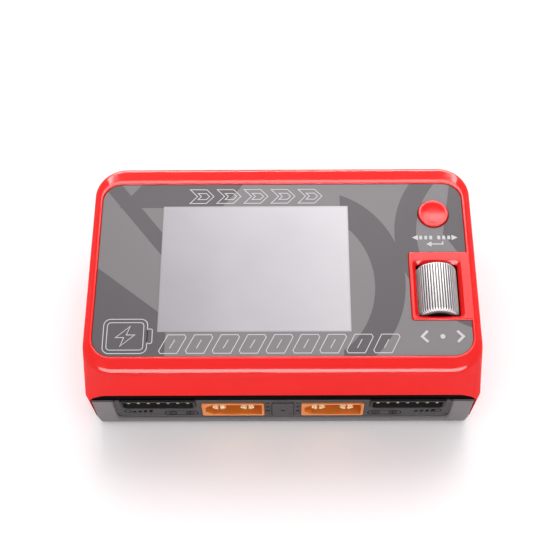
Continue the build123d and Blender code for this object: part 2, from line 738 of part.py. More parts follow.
def make_fan_frame(side):
    """Square fan frame with its motor mount towards the rear wall."""
    half = FAN_DEPTH / 2
    frame = extrude(RectangleRounded(FAN_SIZE, FAN_SIZE, 1.5), half, both=True)
    frame = frame - Cylinder(9.3, FAN_DEPTH + 1)
    for x in (-8.2, 8.2):
        for y in (-8.2, 8.2):
            frame = frame - Pos(x, y, 0) * Cylinder(0.9, FAN_DEPTH + 1)
    mount = Pos(0, 0, -half + 0.5) * Cylinder(4.4, 1.0)
    for index in range(3):
        strut = Rot(0, 0, 30 + index * 120) * Pos(6.8, 0, -half + 0.5) * Box(6.0, 1.2, 1.0)
        mount = mount + strut
    mount = mount + Pos(0, 0, -1.2) * Cylinder(1.5, 2 * (half - 1.2))
    mount = mount - Cylinder(0.8, 2 * half - 1.0)
    return fan_place(side) * (frame + mount)


def make_fan_stators():
    """Coil packs of the two fan motors."""
    ring = Pos(0, 0, -0.5) * (Cylinder(3.1, 3.6) - Cylinder(1.5, 3.6))
    return group([fan_place(side) * ring for side in (-1, 1)])


def fan_blade(index):
    """One twisted blade."""
    def rib(radius, chord, pitch):
        plane = Plane(origin=(radius, 0, 0.4), x_dir=(0, cos(pitch), sin(pitch)), z_dir=(1, 0, 0))
        return (plane * Rectangle(chord, 0.7)).face()
    blade = loft([rib(3.9, 4.6, 0.75), rib(8.7, 6.2, 0.5)], ruled=True)
    return Rot(0, 0, index * 360 / FAN_BLADES) * blade


def make_fan_rotor(side):
    """Hub, blades and axle that turn together."""
    cup = Pos(0, 0, 0.5) * (Cylinder(4.1, 5.8) - Pos(0, 0, -0.5) * Cylinder(3.5, 4.8))
    cup = fillet(cup.edges().group_by(Axis.Z)[-1], 0.6)
    axle = Pos(0, 0, -0.3) * Cylinder(0.75, 5.8)
    rotor = cup + axle
    for index in range(FAN_BLADES):
        rotor = rotor + (fan_blade(index) - Cylinder(3.6, FAR))
    return fan_place(side) * (rotor & Cylinder(8.8, FAR))


def make_fan_plugs():
    """Plugs of the fan leads under the control board."""
    plug = block((22.0, 26.0), (12.5, 16.5), (CONTROL_BOARD[0] - 3.2, CONTROL_BOARD[0]))
    return group(mirror_pair(plug))


def make_fan_leads():
    """Two wires from each fan to its plug."""
    leads = []
    for x in (23.2, 24.8):
        start = FAN_Z + FAN_SIZE / 2
        line = FilletPolyline((x, 21.5, start), (x, 21.5, 25.0), (x, 16.5, 25.0), radius=1.2)
        tube = sweep(Plane(origin=line @ 0, z_dir=line % 0) * Circle(0.5), path=line)
        leads.extend(mirror_pair(tube))
    return group(leads)


# -------------------------------------------------------------------- fasteners
def screw(place, seat, tip, head, shank):
    """A screw driven upwards: its head bears on the seat and its shank ends at the tip."""
    low = seat - 0.31 * head
    body = post(place, (low, seat), head) + post(place, (seat, tip), shank)
    x, y = place
    cross = block((x - head / 4, x + head / 4), (y - 0.2, y + 0.2), (low - 1, low + 0.5))
    cross = cross + block((x - 0.2, x + 0.2), (y - head / 4, y + head / 4), (low - 1, low + 0.5))
    return body - cross


def make_case_screws():
    """Four long screws that hold the two shells together."""
    return group([screw(place, SCREW_SEAT, 20.0, 3.6, 2.0) for place in CASE_POSTS])


def make_control_screws():
    """Screws that hold the control board and the roller board to the red shell."""
    screws = [screw(place, CONTROL_BOARD[0], 30.4, 2.8, 1.6) for place in CONTROL_POSTS]
    screws += [screw(place, ROLLER_BOARD[0], 24.6, 2.8, 1.6) for place in ROLLER_POSTS]
    return group(screws)


def make_power_screws():
    """Screws that hold the power board to the floor."""
    seat = POWER_BOARD[1]
    screws = [screw(place, seat, seat + 3.6, 3.2, 1.6) for place in POWER_POSTS]
    return group([mirror(one, about=Plane.XY.offset(seat)) for one in screws])


def make_feet():
    """Round rubber feet set in the floor."""
    feet = []
    for place in FEET:
        foot = post(place, (0, FOOT_TOP), FOOT_DIAMETER)
        feet.append(chamfer(foot.edges().sort_by(Axis.Z)[0], 0.4))
    return group(feet)


# ------------------------------------------------------------------------ build
def build():
    """Write every sub-part."""
    os.makedirs("parts", exist_ok=True)
    save("top_shell", make_top_shell())
    save("bottom_shell", make_bottom_shell())
    save("front_strip", make_front_strip())
    save("faceplate", make_faceplate())
    save("display_window", screen_block(0, (PLATE_BOTTOM, PLATE_TOP)))
    save("display_gasket", make_gasket())
    save("display_panel", panel_block(0, (PANEL_TOP - PANEL[2], PANEL_TOP)))
    save("display_holder", make_holder())
    save("display_flex", make_flex())
    save("control_board", make_control_board())
    save("control_chips", make_control_chips())
    save("buzzer", make_buzzer())

    save("channel_button", make_button())
    save("button_switch", make_button_switch())
    save("button_plunger", make_button_plunger())
    save("wheel_sleeve", make_wheel_sleeve())
    save("wheel_core", make_wheel_core())
    save("wheel_cradle", make_cradle())
    save("wheel_sensor", make_wheel_sensor())
    save("cradle_guide_pins", make_guide_pins())
    save("roller_board", make_roller_board())
    save("press_switch", make_press_switch())
    save("press_plunger", make_press_plunger())

    for name, side in (("left", -1), ("right", 1)):
        save(f"{name}_output_housing", make_bullet_housing(side * OUTPUT_X))
        save(f"{name}_output_contacts", make_bullet_pins(side * OUTPUT_X))
        save(f"{name}_balance_socket", make_socket(side * SOCKET_X))
        save(f"{name}_balance_pins", make_socket_pins(side * SOCKET_X))
        save(f"{name}_balance_board", make_balance_board(side))
        save(f"{name}_heat_sink", make_heat_sink(side))
        save(f"{name}_fan_frame", make_fan_frame(side))
        save(f"{name}_fan_rotor", make_fan_rotor(side))
    save("balance_board_headers", make_balance_headers())
    save("service_cover", make_service_cover())
    save("service_port", make_service_port())
    save("input_housing", to_rear(make_bullet_housing(0), INPUT_X))
    save("input_contacts", to_rear(make_bullet_pins(0), INPUT_X))
    save("usb_shell", make_usb_shell())
    save("usb_insert", make_usb_tongue())

    save("power_board", make_power_board())
    save("power_inductors", make_inductors())
    save("capacitors", make_capacitors())
    save("power_transistors", make_mosfets())
    save("heat_pads", make_heat_pad())
    save("current_links", make_shunts())
    save("board_headers", group([make_link_header(), make_roller_header()]))
    save("fan_stators", make_fan_stators())
    save("fan_plugs", make_fan_plugs())
    save("fan_leads", make_fan_leads())

    save("case_screws", make_case_screws())
    save("control_board_screws", make_control_screws())
    save("power_board_screws", make_power_screws())
    save("rubber_feet", make_feet())


build()
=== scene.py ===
"""Looks of the balance battery charger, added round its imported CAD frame."""

import json
from math import cos, radians, sin, tau

import bmesh
import bpy
from mathutils import Matrix, Vector


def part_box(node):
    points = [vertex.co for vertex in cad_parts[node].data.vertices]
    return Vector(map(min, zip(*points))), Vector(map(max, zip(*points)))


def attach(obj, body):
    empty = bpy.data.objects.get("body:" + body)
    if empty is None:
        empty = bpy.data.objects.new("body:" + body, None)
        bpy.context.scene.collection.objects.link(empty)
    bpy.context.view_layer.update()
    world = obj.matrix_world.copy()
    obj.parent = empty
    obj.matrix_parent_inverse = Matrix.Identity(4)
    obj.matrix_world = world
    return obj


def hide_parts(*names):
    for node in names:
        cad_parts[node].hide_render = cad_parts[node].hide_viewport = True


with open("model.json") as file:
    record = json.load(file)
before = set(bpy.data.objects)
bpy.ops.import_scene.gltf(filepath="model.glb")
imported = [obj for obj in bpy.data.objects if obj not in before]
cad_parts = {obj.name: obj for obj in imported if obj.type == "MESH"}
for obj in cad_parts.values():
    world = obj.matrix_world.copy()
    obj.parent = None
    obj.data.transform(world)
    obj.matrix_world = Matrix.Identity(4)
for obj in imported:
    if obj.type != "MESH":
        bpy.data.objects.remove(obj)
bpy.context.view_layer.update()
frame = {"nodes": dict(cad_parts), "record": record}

MM = 0.001
nodes = frame["nodes"]
scene = bpy.context.scene


# ------------------------------------------------------------ places on the charger
def node_box(name):
    """A CAD node's lowest and highest corners, in millimetres."""
    low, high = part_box(name)
    return Vector(low) / MM, Vector(high) / MM


plate_low, plate_high = node_box("faceplate")
screen_low, screen_high = node_box("display_window")
button_low, button_high = node_box("channel_button")
wheel_low, wheel_high = node_box("wheel_sleeve")
case_low, _ = node_box("bottom_shell")

PLATE_TOP = plate_high.z
SCREEN = (screen_low + screen_high) / 2
SCREEN_HALF = (screen_high - screen_low) / 2
BUTTON = (button_low + button_high) / 2
WHEEL = (wheel_low + wheel_high) / 2
WHEEL_INSET = 0.005                 # the drawn wheel stays this far inside the CAD sleeve
WHEEL_RADIUS = (wheel_high.z - wheel_low.z) / 2 - WHEEL_INSET
WHEEL_HALF = (wheel_high.y - wheel_low.y) / 2 - WHEEL_INSET
WHEEL_BORE = 3.12                   # radius of the hole through the wheel
RIBS = 46                           # ribs round the wheel
RIB_DEPTH = 0.32                    # depth of the grooves between them
PANEL_DEPTH = 0.35                  # the connector panel is sunk this far into the front face
PANEL_Y = case_low.y + PANEL_DEPTH
PANEL_HALF = 42.3                   # the panel's dark tone ends here, to each side; beyond it the ends are painted paler, as painted light
PANEL_FOOT = 2.0                    # and starts here, above the floor; below it the foot is painted paler, as painted light
INK = 0.03                          # thickness of the printed marks
FINE_LINE = 0.19                    # width of the lines in the printed ornaments
BLUR = 0.04                         # softness of the edges between printed tones


# ------------------------------------------------------------------------- camera
CAMERA_PLACE = (1.17, -127.80, 273.87)      # millimetres
CAMERA_DOWN = 62.755                        # degrees below the horizon
CAMERA_TURN = -0.792                        # degrees to the right of straight ahead
CAMERA_ROLL = -0.915                        # degrees
CAMERA_LENS = 70.71                         # focal length for the sensor below
CAMERA_SENSOR = 36.0


def make_camera():
    """The camera of the product picture."""
    down, turn, roll = radians(CAMERA_DOWN), radians(CAMERA_TURN), radians(CAMERA_ROLL)
    ahead = Vector((sin(turn) * cos(down), cos(turn) * cos(down), -sin(down)))
    right = Vector((cos(turn), -sin(turn), 0))
    up = right.cross(ahead)
    side = right * cos(roll) + up * sin(roll)
    top = up * cos(roll) - right * sin(roll)
    camera = bpy.data.objects.new("camera", bpy.data.cameras.new("camera"))
    camera.data.lens = CAMERA_LENS
    camera.data.sensor_width = CAMERA_SENSOR
    camera.data.clip_start = 0.01
    turned = Matrix((side, top, -ahead)).transposed().to_4x4()
    camera.matrix_world = Matrix.Translation(Vector(CAMERA_PLACE) * MM) @ turned
    scene.collection.objects.link(camera)
    scene.camera = camera


# ---------------------------------------------------------------- material helpers
class Paint:
    """A node material built up round one Principled shader."""

    def __init__(self, name, **values):
        self.material = bpy.data.materials.new(name)
        self.material.use_nodes = True
        self.tree = self.material.node_tree
        self.shader = self.tree.nodes["Principled BSDF"]
        self.place = None
        self.set(**values)

    def put(self, socket, value):
        """Link a socket, or set its constant."""
        if isinstance(value, bpy.types.NodeSocket):
            self.tree.links.new(value, socket)
        elif isinstance(value, tuple) and len(value) == 3 and len(socket.default_value) == 4:
            socket.default_value = (*value, 1.0)
        else:
            socket.default_value = value

    def node(self, kind, **settings):
        """A new node with its properties set."""
        made = self.tree.nodes.new(kind)
        for key, value in settings.items():
            setattr(made, key, value)
        return made

    def set(self, **sockets):
        """Set or link inputs of the shader."""
        for key, value in sockets.items():
            self.put(self.shader.inputs[key.replace("_", " ")], value)

    def position(self):
        """Position on the object in millimetres."""
        if self.place is None:
            coordinates = self.node("ShaderNodeTexCoord")
            scale = self.node("ShaderNodeVectorMath", operation="SCALE")
            self.put(scale.inputs[0], coordinates.outputs["Object"])
            self.put(scale.inputs["Scale"], 1 / MM)
            self.place = scale.outputs[0]
        return self.place

    def axes(self):
        """X, Y and Z of the position, in millimetres."""
        split = self.node("ShaderNodeSeparateXYZ")
        self.put(split.inputs[0], self.position())
        return split.outputs

    def math(self, operation, a, b=0.0, c=0.0):
        """One math node."""
        made = self.node("ShaderNodeMath", operation=operation)
        for socket, value in zip(made.inputs, (a, b, c)):
            self.put(socket, value)
        return made.outputs[0]

    def noise(self, size, detail, rough=0.5, stretch=(1, 1, 1)):
        """Noise with features of the given size in millimetres."""
        made = self.node("ShaderNodeTexNoise")
        mapping = self.node("ShaderNodeMapping")
        self.put(mapping.inputs["Vector"], self.position())
        self.put(mapping.inputs["Scale"], tuple(factor / size for factor in stretch))
        self.put(made.inputs["Vector"], mapping.outputs[0])
        self.put(made.inputs["Scale"], 1.0)
        self.put(made.inputs["Detail"], detail)
        self.put(made.inputs["Roughness"], rough)
        return made.outputs["Fac"]

    def speckle(self, size, threshold):
        """Small round spots scattered about every so many millimetres."""
        made = self.node("ShaderNodeTexVoronoi")
        self.put(made.inputs["Vector"], self.position())
        self.put(made.inputs["Scale"], 1 / size)
        return self.ramp(made.outputs["Distance"], threshold, threshold * 0.5)

    def ramp(self, value, low, high, out_low=0.0, out_high=1.0):
        """Remap a value between two limits."""
        made = self.node("ShaderNodeMapRange")
        for key, number in (("Value", value), ("From Min", low), ("From Max", high),
                            ("To Min", out_low), ("To Max", out_high)):
            self.put(made.inputs[key], number)
        return made.outputs[0]

    def blend(self, amount, first, second):
        """Mix two colours."""
        made = self.node("ShaderNodeMix", data_type="RGBA")
        self.put(made.inputs[0], amount)
        self.put(made.inputs[6], first)
        self.put(made.inputs[7], second)
        return made.outputs[2]

    def uneven(self, value, smooth, rough):
        """Roughness that wanders between two values with a noise."""
        self.set(Roughness=self.ramp(value, 0.3, 0.7, smooth, rough))

    def edges(self, radius):
        """Round every edge in the shading and return how near the surface is to one."""
        bevel = self.node("ShaderNodeBevel", samples=4)
        self.put(bevel.inputs["Radius"], radius * MM)
        self.put(self.shader.inputs["Normal"], bevel.outputs[0])
        geometry = self.node("ShaderNodeNewGeometry")
        dot = self.node("ShaderNodeVectorMath", operation="DOT_PRODUCT")
        self.put(dot.inputs[0], bevel.outputs[0])
        self.put(dot.inputs[1], geometry.outputs["Normal"])
        return self.ramp(dot.outputs["Value"], 0.99, 0.85)

    def bump(self, height, distance, strength):
        """Bump in millimetres on top of whatever already bends the normal."""
        made = self.node("ShaderNodeBump")
        self.put(made.inputs["Height"], height)
        self.put(made.inputs["Distance"], distance * MM)
        self.put(made.inputs["Strength"], strength)
        normal = self.shader.inputs["Normal"]
        if normal.is_linked:
            self.put(made.inputs["Normal"], normal.links[0].from_socket)
        self.put(normal, made.outputs[0])

    def radius(self, a, b):
        """Distance from the origin of a point in a plane."""
        square = self.math("ADD", self.math("MULTIPLY", a, a), self.math("MULTIPLY", b, b))
        return self.math("SQRT", square)

    def half_plane(self, point, angle):
        """One on the left of a line through a point at an angle in degrees, nought on the right."""
        x, y, _ = self.axes()
        across = (-sin(radians(angle)), cos(radians(angle)))
        along_x = self.math("MULTIPLY", self.math("SUBTRACT", x, point[0]), across[0])
        along_y = self.math("MULTIPLY", self.math("SUBTRACT", y, point[1]), across[1])
        return self.ramp(self.math("ADD", along_x, along_y), -BLUR, BLUR)

    def disc(self, centre, radius, squeeze=1.0):
        """One inside an ellipse, nought outside."""
        x, y, _ = self.axes()
        dx = self.math("MULTIPLY", self.math("SUBTRACT", x, centre[0]), squeeze)
        dy = self.math("SUBTRACT", y, centre[1])
        return self.ramp(self.radius(dx, dy), radius + BLUR, radius - BLUR)

    def both(self, first, second):
        """Where two masks overlap."""
        return self.math("MULTIPLY", first, second)

    def either(self, first, second):
        """Where either of two masks is."""
        return self.math("MAXIMUM", first, second)

    def without(self, first, second):
        """The first mask less the second."""
        return self.math("MULTIPLY", first, self.math("SUBTRACT", 1.0, second))


# ---------------------------------------------------------------------- materials
def red_plastic():
    """Polished red moulding: faint orange peel, faint clouds and a painted highlight that makes
    every edge paler.
    """
    paint = Paint("red_plastic", Specular_IOR_Level=0.0)
    paint.set(Coat_Weight=0.16, Coat_IOR=2.0, Coat_Roughness=0.13)
    edge = paint.edges(0.1)
    body = paint.blend(paint.noise(16, 2), (0.75, 0.0088, 0.0072), (0.79, 0.0108, 0.0090))
    # painted highlight: every edge is painted a paler, pinker red
    paint.set(Base_Color=paint.blend(paint.math("MULTIPLY", edge, 0.25), body, (0.92, 0.06, 0.05)))
    paint.uneven(paint.noise(2.5, 4), 0.20, 0.25)
    paint.bump(paint.noise(0.9, 1.5), 0.0008, 0.3)
    return paint.material


def button_red():
    """Deep red button, polished by fingers in the dish."""
    paint = Paint("button_red", Specular_IOR_Level=0.0)
    paint.set(Coat_Weight=0.15, Coat_IOR=2.0, Coat_Roughness=0.14)
    paint.edges(0.1)
    paint.set(Base_Color=paint.blend(paint.noise(3, 2), (0.80, 0.010, 0.010), (0.85, 0.014, 0.014)))
    worn = paint.disc((BUTTON.x, BUTTON.y), 2.6)
    paint.set(Roughness=paint.ramp(worn, 0, 1, 0.26, 0.20))
    paint.bump(paint.noise(0.25, 3), 0.002, 0.5)
    return paint.material


def dark_plastic():
    """Dark grey moulding with a spark-eroded grain, darker in the connector panel; its ends and
    foot are painted paler as painted light, and its edges carry a painted highlight.
    """
    paint = Paint("dark_plastic", Specular_IOR_Level=0.25)
    x, _, z = paint.axes()
    panel = paint.ramp(paint.math("ABSOLUTE", x), PANEL_HALF, PANEL_HALF + 0.8, 1.0, 0.0)
    panel = paint.both(panel, paint.ramp(z, PANEL_FOOT, PANEL_FOOT + 4.0))
    cloud = paint.noise(9, 3)
    dark = paint.blend(cloud, (0.035, 0.031, 0.033), (0.043, 0.038, 0.041))
    # painted light: the paler tone outside the panel, where the face's ends and foot catch more
    # light
    pale = paint.blend(cloud, (0.148, 0.133, 0.142), (0.168, 0.151, 0.160))
    edge = paint.edges(0.12)
    body = paint.blend(panel, pale, dark)
    # painted highlight: every edge is painted a paler grey
    paint.set(Base_Color=paint.blend(paint.math("MULTIPLY", edge, 0.35), body, (0.20, 0.19, 0.195)))
    paint.uneven(paint.noise(0.5, 3), 0.52, 0.68)
    paint.bump(paint.noise(0.18, 3, 0.6), 0.02, 0.6)
    return paint.material


def gloss_black():
    """Black strip under the red lip, its near-black partly its own colour and partly painted shade
    of the lip's shadow.
    """
    paint = Paint("gloss_black", Specular_IOR_Level=0.0)
    paint.set(Coat_Weight=0.03, Coat_IOR=2.0, Coat_Roughness=0.2)
    # painted shade: darker than the other black plastic, for the shadow under the red lip
    tint = paint.blend(paint.noise(12, 2), (0.0016, 0.0011, 0.0016), (0.0026, 0.0018, 0.0026))
    paint.set(Base_Color=tint)
    paint.uneven(paint.noise(2, 3), 0.30, 0.42)
    paint.bump(paint.noise(1.5, 2), 0.004, 0.4)
    return paint.material


def plate_print():
    """Printed sheet: two greys in slanted facets and sweeping bands under a satin film."""
    paint = Paint("plate_print", Specular_IOR_Level=0.0)
    paint.set(Coat_Weight=0.12, Coat_IOR=2.0, Coat_Roughness=0.40)
    left, right = screen_low.x, screen_high.x
    middle = SCREEN.y

    # slanted facets left of the screen and above it
    upper = paint.half_plane((left - 4, middle + 15), 128)
    slash = paint.without(upper, paint.half_plane((left - 9, middle + 15), 128))
    slope = paint.half_plane((left - 22, middle + 5), 142)
    notch = paint.half_plane((left - 12, middle + 6), -52)
    notch = paint.both(notch, paint.half_plane((left, middle - 3), 180))
    shelf = paint.half_plane((left, screen_high.y - 0.4), 0)
    shelf = paint.both(shelf, paint.half_plane((left - 11, screen_high.y), -128))
    shelf = paint.both(shelf, paint.half_plane((left + 15, screen_high.y), 52))
    facets = paint.either(paint.either(slash, paint.without(slope, notch)), shelf)
    facets = paint.both(facets, paint.either(shelf, paint.half_plane((left + 2, 0), 90)))

    # rings and a cut corner right of the screen
    outer = paint.disc((right - 9, middle - 4), 26.0, 1.15)
    ring = paint.without(outer, paint.disc((right - 11, middle - 5), 20.5, 1.2))
    sweep = paint.disc((right + 39, middle + 9), 27.5)
    sweep = paint.without(sweep, paint.disc((right + 41, middle + 9), 24.0))
    corner = paint.half_plane((right + 17, middle + 20), -58)
    corner = paint.both(corner, paint.half_plane((right + 22, middle), -100))
    bands = paint.either(paint.either(ring, sweep), corner)
    bands = paint.without(bands, paint.half_plane((right - 2, 0), 90))

    # the two greys, with painted shade making them a little darker towards the left edge
    tone = paint.either(facets, bands)
    grain = paint.noise(0.09, 2)
    light = paint.blend(grain, (0.164, 0.152, 0.160), (0.188, 0.174, 0.183))
    dark = paint.blend(grain, (0.074, 0.064, 0.071), (0.088, 0.077, 0.085))
    x, _, _ = paint.axes()
    painted_shade = paint.ramp(x, plate_low.x, SCREEN.x, 0.14, 0.0)
    paint.set(Base_Color=paint.blend(painted_shade, paint.blend(tone, light, dark), (0.030, 0.026, 0.028)))
    paint.uneven(paint.noise(4, 3), 0.38, 0.46)
    paint.bump(paint.noise(0.12, 2), 0.002, 0.5)
    return paint.material


def window_film():
    """Satin lilac window over the switched-off display, faintly uneven behind the film, with a
    painted reflection that brightens it to the right and painted shade along its edges.
    """
    paint = Paint("window_film", Specular_IOR_Level=0.0)
    paint.set(Coat_Weight=0.22, Coat_IOR=2.0, Coat_Roughness=0.22)
    x, y, _ = paint.axes()
    # painted reflection: the window grows brighter from left to right
    across = paint.ramp(x, screen_low.x, screen_high.x)
    cloud = paint.math("MULTIPLY", paint.noise(18, 2), 0.3)
    cloud = paint.math("MULTIPLY_ADD", across, 0.7, cloud)
    body = paint.blend(cloud, (0.225, 0.207, 0.238), (0.500, 0.474, 0.505))
    # painted shade: a darker border along the window's edges
    from_x = paint.math("ABSOLUTE", paint.math("SUBTRACT", x, SCREEN.x))
    from_y = paint.math("ABSOLUTE", paint.math("SUBTRACT", y, SCREEN.y))
    near_x = paint.ramp(from_x, SCREEN_HALF.x - 0.5, SCREEN_HALF.x - 0.1)
    near_y = paint.ramp(from_y, SCREEN_HALF.y - 0.5, SCREEN_HALF.y - 0.1)
    painted_edge_shade = paint.math("MULTIPLY", paint.either(near_x, near_y), 0.35)
    paint.set(Base_Color=paint.blend(painted_edge_shade, body, (0.20, 0.19, 0.21)))
    paint.uneven(paint.noise(6, 3), 0.30, 0.38)
    paint.bump(paint.noise(0.3, 2), 0.001, 0.4)
    return paint.material


def wheel_metal():
    """Turned and knurled bright metal with fine streaks along the ribs and grooves darkened by dirt
    and painted shade.
    """
    paint = Paint("wheel_metal", Metallic=1.0, Specular_Tint=(0.30, 0.28, 0.28))
    streaks = paint.noise(0.16, 4, 0.6, (1, 0.08, 1))
    x, y, z = paint.axes()
    from_axis = paint.radius(paint.math("SUBTRACT", x, WHEEL.x), paint.math("SUBTRACT", z, WHEEL.z))
    groove = WHEEL_RADIUS - RIB_DEPTH
    from_middle = paint.math("ABSOLUTE", paint.math("SUBTRACT", y, WHEEL.y))
    end = paint.ramp(from_middle, WHEEL_HALF - 0.6, WHEEL_HALF - 0.45, 0.0, 0.4)
    rib = paint.either(end, paint.ramp(from_axis, groove + 0.04, groove + 0.18))
    bright = paint.blend(streaks, (0.21, 0.204, 0.207), (0.45, 0.44, 0.445))
    # the groove floors: dirt and painted shade between the ribs, faintly red as a painted
    # reflection of the case
    paint.set(Base_Color=paint.blend(rib, (0.085, 0.066, 0.066), bright))
    paint.uneven(paint.noise(0.5, 3), 0.46, 0.58)
    paint.bump(streaks, 0.006, 0.5)
    return paint.material


def board():
    """Green circuit board with darker solder mask over faint tracks and tinned dots."""
    paint = Paint("board", Specular_IOR_Level=0.5)
    tracks = paint.node("ShaderNodeTexBrick", offset=0.5, squash=1.0)
    paint.put(tracks.inputs["Vector"], paint.position())
    for key, value in (("Scale", 0.55), ("Mortar Size", 0.03), ("Color1", (0.010, 0.072, 0.034, 1)),
                       ("Color2", (0.012, 0.085, 0.040, 1)), ("Mortar", (0.020, 0.120, 0.055, 1))):
        paint.put(tracks.inputs[key], value)
    dots = paint.speckle(1.7, 0.16)
    paint.set(Base_Color=paint.blend(dots, tracks.outputs["Color"], (0.55, 0.54, 0.50)))
    paint.set(Metallic=dots)
    paint.uneven(paint.noise(3, 3), 0.28, 0.40)
    paint.bump(tracks.outputs["Fac"], 0.02, 0.5)
    return paint.material


def chip():
    """Moulded black packages with a faint laser-marked dot pattern."""
    paint = Paint("chip")
    marks = paint.speckle(2.2, 0.12)
    body = paint.blend(paint.noise(0.3, 3), (0.012, 0.012, 0.013), (0.024, 0.024, 0.026))
    paint.set(Base_Color=paint.blend(paint.math("MULTIPLY", marks, 0.3), body, (0.16, 0.16, 0.16)))
    paint.uneven(paint.noise(0.4, 3), 0.50, 0.64)
    paint.bump(paint.noise(0.12, 3), 0.01, 0.6)
    return paint.material


def moulded(name, dark, light, roughness, grain=0.3, height=0.008, edge=0.08, **values):
    """A moulded or cast surface: clouded colour, uneven gloss, fine grain and soft edges."""
    paint = Paint(name, **values)
    if edge:
        paint.edges(edge)
    paint.set(Base_Color=paint.blend(paint.noise(5, 3), dark, light))
    paint.uneven(paint.noise(1.5, 3), roughness - 0.06, roughness + 0.06)
    paint.bump(paint.noise(grain, 3), height, 0.6)
    return paint.material


def drawn_metal(name, dark, light, roughness, stretch=(1, 0.1, 1)):
    """A metal surface with streaks along one direction and small spots of tarnish."""
    paint = Paint(name, Metallic=1.0)
    paint.edges(0.05)
    streaks = paint.noise(0.3, 4, 0.6, stretch)
    body = paint.blend(streaks, dark, light)
    tarnish = paint.ramp(paint.noise(2.5, 4), 0.62, 0.75, 0.0, 0.5)
    paint.set(Base_Color=paint.blend(tarnish, body, tuple(0.6 * channel for channel in dark)))
    paint.uneven(streaks, roughness - 0.05, roughness + 0.08)
    paint.bump(streaks, 0.006, 0.5)
    return paint.material


def amber_plastic():
    """Amber nylon, slightly translucent."""
    return moulded("amber_plastic", (0.62, 0.165, 0.009), (0.72, 0.205, 0.015), 0.36, 0.35,
                   edge=0.12, Subsurface_Weight=0.2, Subsurface_Scale=0.0015,
                   Subsurface_Radius=(1.0, 0.4, 0.1))


def make_materials():
    """One material for each slot of the record, by the slot's name."""
    made = [
        red_plastic(), button_red(), dark_plastic(), gloss_black(), plate_print(), window_film(),
        wheel_metal(), board(), chip(), amber_plastic(),
        moulded("display", (0.30, 0.28, 0.33), (0.36, 0.34, 0.39), 0.25, 1.0, 0.002),
        moulded("foam", (0.012, 0.012, 0.012), (0.030, 0.030, 0.030), 0.9, 0.4, 0.08, edge=0),
        moulded("ribbon", (0.48, 0.22, 0.04), (0.58, 0.29, 0.07), 0.30, 0.8, 0.006),
        moulded("black_plastic", (0.0035, 0.0030, 0.0036), (0.0065, 0.0058, 0.0066), 0.52, 0.25,
                0.01, edge=0.06, Specular_IOR_Level=0.25),
        moulded("white_plastic", (0.70, 0.69, 0.65), (0.78, 0.77, 0.73), 0.42),
        moulded("ferrite", (0.045, 0.045, 0.050), (0.085, 0.085, 0.090), 0.72, 0.4, 0.04),
        moulded("heat_pad", (0.36, 0.39, 0.43), (0.46, 0.49, 0.53), 0.82, 0.5, 0.03),
        moulded("lead_jacket", (0.38, 0.010, 0.010), (0.48, 0.018, 0.018), 0.50, 0.4, 0.01, edge=0),
        moulded("foot_rubber", (0.012, 0.012, 0.012), (0.028, 0.028, 0.028), 0.85, 0.25, 0.04),
        drawn_metal("switch_steel", (0.52, 0.52, 0.53), (0.68, 0.68, 0.69), 0.34),
        drawn_metal("gold_contact", (0.86, 0.66, 0.36), (0.98, 0.84, 0.56), 0.26),
        drawn_metal("connector_steel", (0.27, 0.23, 0.15), (0.40, 0.35, 0.24), 0.42),
        drawn_metal("can_aluminium", (0.58, 0.58, 0.60), (0.74, 0.74, 0.76), 0.32, (1, 1, 0.1)),
        drawn_metal("sink_aluminium", (0.46, 0.47, 0.49), (0.62, 0.63, 0.65), 0.40),
        drawn_metal("copper", (0.66, 0.30, 0.13), (0.80, 0.42, 0.22), 0.34),
        drawn_metal("screw_steel", (0.060, 0.060, 0.062), (0.120, 0.120, 0.124), 0.38, (1, 1, 1)),
    ]
    # a name that is taken already gets a number behind a point
    return {material.name.split(".")[0]: material for material in made}


def dress_frame():
    """Give every CAD node the material of its slot."""
    for part in frame["record"]["subparts"]:
        for holder in nodes[part["node"]].material_slots:
            holder.material = materials[part["material_slot"]]


# -------------------------------------------------------------------- mesh helpers
def mesh_object(name, bm, material, smooth=None):
    """Finish a bmesh, drawn in millimetres, as an object; smooth is its sharpest smooth angle."""
    bmesh.ops.scale(bm, vec=(MM, MM, MM), verts=bm.verts)
    bmesh.ops.recalc_face_normals(bm, faces=bm.faces)
    mesh = bpy.data.meshes.new(name)
    bm.to_mesh(mesh)
    bm.free()
    mesh.materials.append(material)
    obj = bpy.data.objects.new(name, mesh)
    scene.collection.objects.link(obj)
    if smooth:
        for polygon in mesh.polygons:
            polygon.use_smooth = True
        mesh.set_sharp_from_angle(angle=radians(smooth))
    return obj


def on_plate(u, v, height):
    """A drawing laid on the faceplate."""
    return Vector((u, v, PLATE_TOP + height))


def on_panel(u, v, height):
    """A drawing laid on the connector panel, seen from the front."""
    return Vector((u, PANEL_Y - height, v))


def add_strip(bm, lay, points, width, closed):
    """A thin closed ribbon of ink along a drawn line, with mitred corners."""
    count = len(points)
    rims = []
    for index in range(count):
        here = Vector(points[index])
        before = Vector(points[index - 1]) if closed or index else None
        after = Vector(points[(index + 1) % count]) if closed or index < count - 1 else None
        first = (here - before).normalized() if before else (after - here).normalized()
        second = (after - here).normalized() if after else first
        across = Vector((-(first + second).y, (first + second).x)).normalized()
        mitre = min(1 / max(across.dot(Vector((-second.y, second.x))), 0.3), 2.5)
        step = across * (width / 2 * mitre)
        corners = [(here + step, 0), (here - step, 0), (here - step, INK), (here + step, INK)]
        rims.append([bm.verts.new(lay(place.x, place.y, height)) for place, height in corners])
    for index in range(count if closed else count - 1):
        one, two = rims[index], rims[(index + 1) % count]
        for side in range(4):
            bm.faces.new((one[side], one[side - 1], two[side - 1], two[side]))
    if not closed:
        bm.faces.new(rims[0])
        bm.faces.new(rims[-1][::-1])


